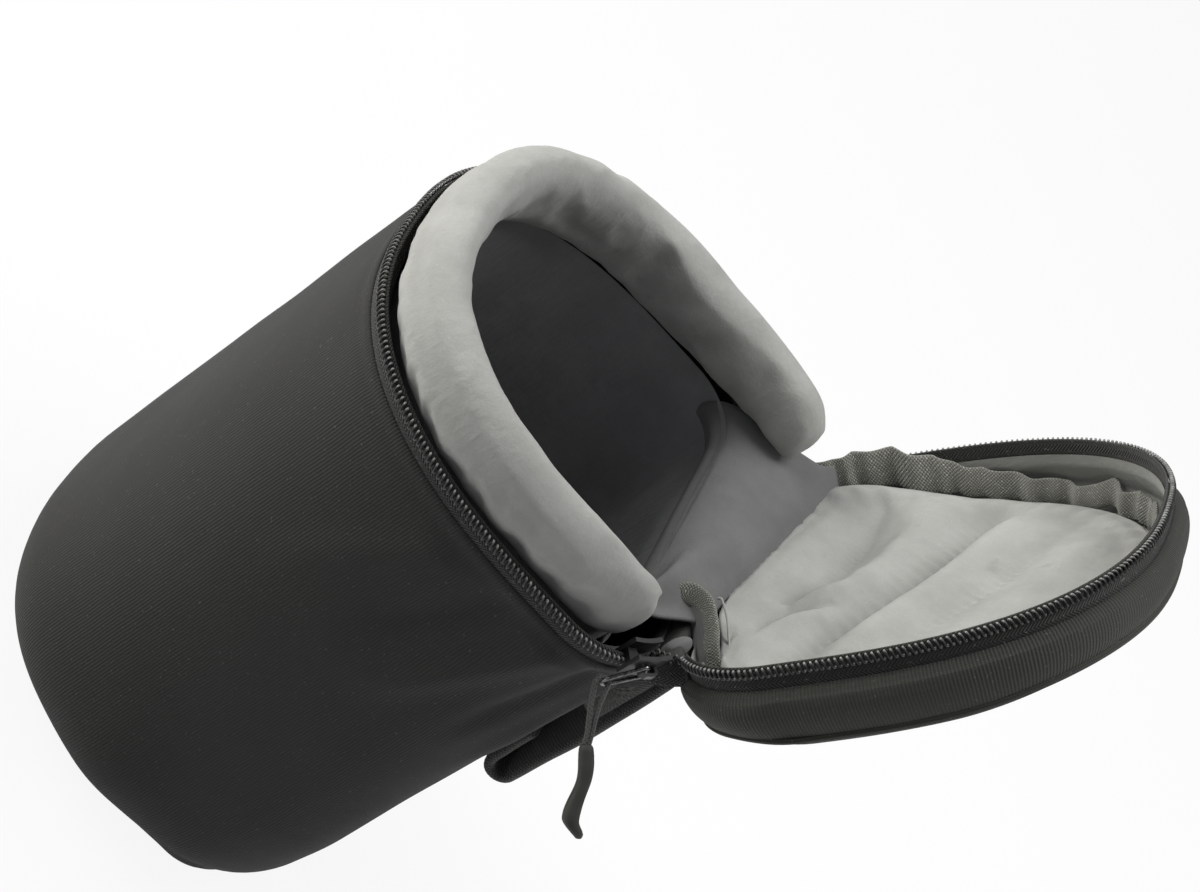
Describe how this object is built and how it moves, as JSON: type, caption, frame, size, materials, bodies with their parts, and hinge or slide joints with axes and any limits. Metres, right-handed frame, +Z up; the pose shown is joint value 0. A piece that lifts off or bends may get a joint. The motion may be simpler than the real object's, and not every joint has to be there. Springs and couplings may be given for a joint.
{
  "type": "lens pouch",
  "caption": "Padded D-plan lens pouch in black nylon with grey lining, stuffed collar, zipped lid open on its back hinge, slider with moulded pull, and a back tab.",
  "frame": {"origin": "centre of the base panel's underside, on the axis of the pouch", "axes": "+Z up along the pouch, +Y to the flat back where the lid hinges, -Y to the round front, +X to the end of the zip where the slider parks"},
  "size_m": [0.1536, 0.1911, 0.2692],
  "materials": {
    "body_nylon": "fine woven nylon, matt",
    "lid_nylon": "ribbed nylon, matt",
    "tab_nylon": "woven webbing, matt",
    "lining": "brushed tricot",
    "binding": "coarse woven tape",
    "foam": "closed cell foam",
    "zip_tape": "herringbone tape",
    "zip_coil": "nylon coil",
    "slider_metal": "black paint over zinc",
    "wire_metal": "worn dark plating",
    "grip_rubber": "moulded, satin"
  },
  "bodies": {
    "pouch": {"outer_shell": "body_nylon", "base_panel": "body_nylon", "wall_foam": "foam", "base_foam": "foam", "floor_lining": "lining", "body_lining": "lining", "hinge_lining": "lining", "hinge_panel": "body_nylon", "body_zip_tape": "zip_tape", "body_zip_coil": "zip_coil", "padded_collar": "lining", "hinge_strip": "body_nylon", "tab_patch": "tab_nylon", "tab_anchor": "tab_nylon"},
    "lid": {"lid_gusset": "lid_nylon", "lid_top_panel": "lid_nylon", "lid_foam": "foam", "lid_side_lining": "lining", "lid_pad": "lining", "lid_binding": "binding", "lid_zip_tape": "zip_tape", "lid_zip_coil": "zip_coil", "lid_hinge_panel": "lid_nylon"},
    "slider": {"slider_body": "slider_metal"},
    "wire": {"pull_wire": "wire_metal"},
    "pull": {"pull_cord": "tab_nylon", "pull_grip": "grip_rubber"},
    "tab": {"tab_strap": "tab_nylon", "tab_hook_patch": "tab_nylon"}
  },
  "joints": [
    {"name": "lid_hinge", "type": "hinge", "parent": "pouch", "child": "lid", "pos_m": [0, 0.038, 0.164], "axis": [-0.9925, 0, -0.1219], "range_deg": [-115, 16]},
    {"name": "slider_travel", "type": "hinge", "parent": "pouch", "child": "slider", "pos_m": [0.038, 0.011, 0.1682], "axis": [0, 0, 1], "range_deg": [-38, 0]},
    {"name": "wire_swing", "type": "hinge", "parent": "slider", "child": "wire", "pos_m": [0.05777, 0.03456, 0.1682], "axis": [0.4394, -0.3687, 0.8191], "range_deg": [0, 30]},
    {"name": "pull_swing", "type": "hinge", "parent": "wire", "child": "pull", "pos_m": [0.06498, 0.0285, 0.1616], "axis": [0.4394, -0.3687, 0.8191], "range_deg": [-60, 15]},
    {"name": "tab_swing", "type": "hinge", "parent": "pouch", "child": "tab", "pos_m": [0, 0.053, 0.1415], "axis": [1, 0, 0], "range_deg": [0, 50]}
  ]
}
